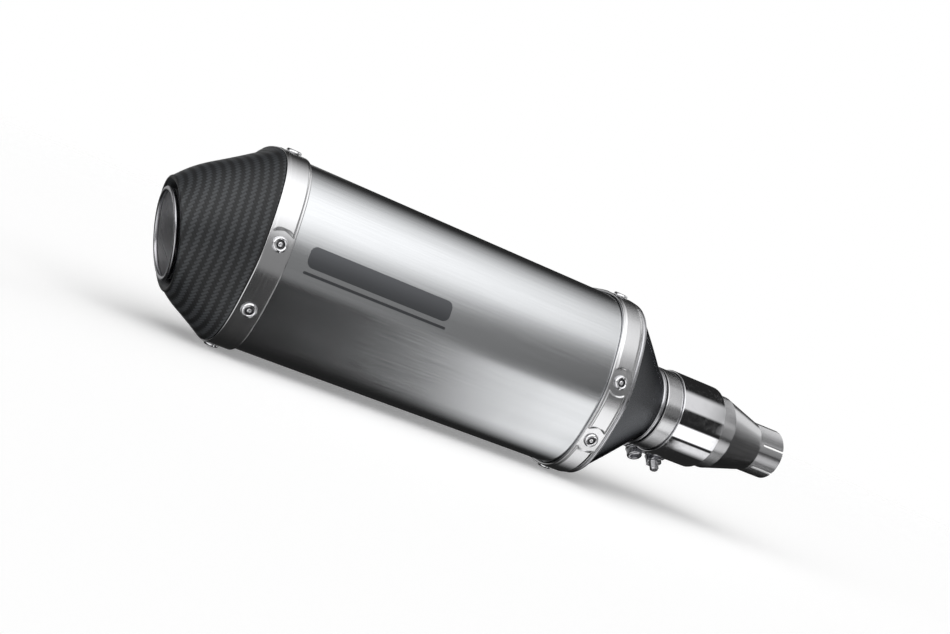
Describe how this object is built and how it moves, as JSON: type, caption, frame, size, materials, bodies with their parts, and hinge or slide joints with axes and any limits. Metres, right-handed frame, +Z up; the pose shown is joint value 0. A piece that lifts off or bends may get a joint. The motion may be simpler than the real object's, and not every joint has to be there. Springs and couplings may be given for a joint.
{
  "type": "exhaust silencer",
  "caption": "Slip-on racing exhaust silencer: rounded oval brushed sleeve, riveted bands, carbon outlet cap, dark inlet cone, band clamp and slotted reducer.",
  "frame": {"origin": "centre of the reducer's open end face, where the gas comes in", "axes": "+X along the inlet axis, out of the inlet; -X toward the outlet; +Z up; the flatter side of the body faces -Y"},
  "size_m": [0.4383, 0.0954, 0.1175],
  "materials": {
    "titanium": "brushed titanium, grain along the sleeve",
    "carbon": "twill carbon laminate, satin clear coat",
    "band_steel": "bright satin, embossed",
    "rivet_steel": "bright",
    "dark_metal": "dark satin",
    "collar_steel": "brushed around",
    "tube_steel": "satin",
    "spring_steel": "dark oiled",
    "wool": "matted wire",
    "fibre": "matt fibre",
    "polished_steel": "mirror",
    "fastener_steel": "bright zinc",
    "reducer_steel": "satin"
  },
  "bodies": {
    "silencer": {"carbon_end_cap": "carbon", "outlet_tube": "tube_steel", "rear_end_plate": "tube_steel", "rear_band": "band_steel", "rear_rivet_1": "rivet_steel", "rear_rivet_2": "rivet_steel", "rear_rivet_3": "rivet_steel", "rear_rivet_4": "rivet_steel", "rear_rivet_5": "rivet_steel", "rear_rivet_6": "rivet_steel", "titanium_sleeve": "titanium", "packing": "fibre", "steel_wool_wrap": "wool", "perforated_core": "tube_steel", "front_band": "band_steel", "front_rivet_1": "rivet_steel", "front_rivet_2": "rivet_steel", "front_rivet_3": "rivet_steel", "front_rivet_4": "rivet_steel", "front_rivet_5": "rivet_steel", "front_rivet_6": "rivet_steel", "front_cone": "dark_metal", "neck_ring": "collar_steel", "inlet_stub": "collar_steel"},
    "baffle": {"baffle_flange": "tube_steel", "baffle_tube": "tube_steel", "baffle_circlip": "spring_steel"},
    "clamp": {"clamp_band": "polished_steel", "clamp_tongue": "polished_steel", "clamp_bar_near": "fastener_steel", "clamp_bar_far": "fastener_steel", "clamp_bolt_1": "fastener_steel", "clamp_bolt_2": "fastener_steel", "clamp_washer_1": "fastener_steel", "clamp_washer_2": "fastener_steel", "clamp_washer_3": "fastener_steel", "clamp_washer_4": "fastener_steel"},
    "nut_1": {"clamp_nut_1": "fastener_steel"},
    "nut_2": {"clamp_nut_2": "fastener_steel"},
    "reducer": {"reducer_adapter": "reducer_steel"}
  },
  "joints": [
    {"name": "reducer_slide", "type": "slide", "parent": "silencer", "child": "reducer", "axis": [1, 0, 0], "range_m": [-0.005, 0.032]},
    {"name": "baffle_slide", "type": "slide", "parent": "silencer", "child": "baffle", "axis": [-0.9548, 0, -0.2974], "range_m": [0, 0.062]},
    {"name": "clamp_turn", "type": "hinge", "parent": "silencer", "child": "clamp", "pos_m": [-0.077, 0, 0], "axis": [1, 0, 0], "continuous": true},
    {"name": "clamp_nut_1_turn", "type": "hinge", "parent": "clamp", "child": "nut_1", "pos_m": [-0.0868, 0.02334, -0.02334], "axis": [0, -0.7071, -0.7071], "continuous": true},
    {"name": "clamp_nut_2_turn", "type": "hinge", "parent": "clamp", "child": "nut_2", "pos_m": [-0.0707, 0.02334, -0.02334], "axis": [0, -0.7071, -0.7071], "continuous": true}
  ]
}
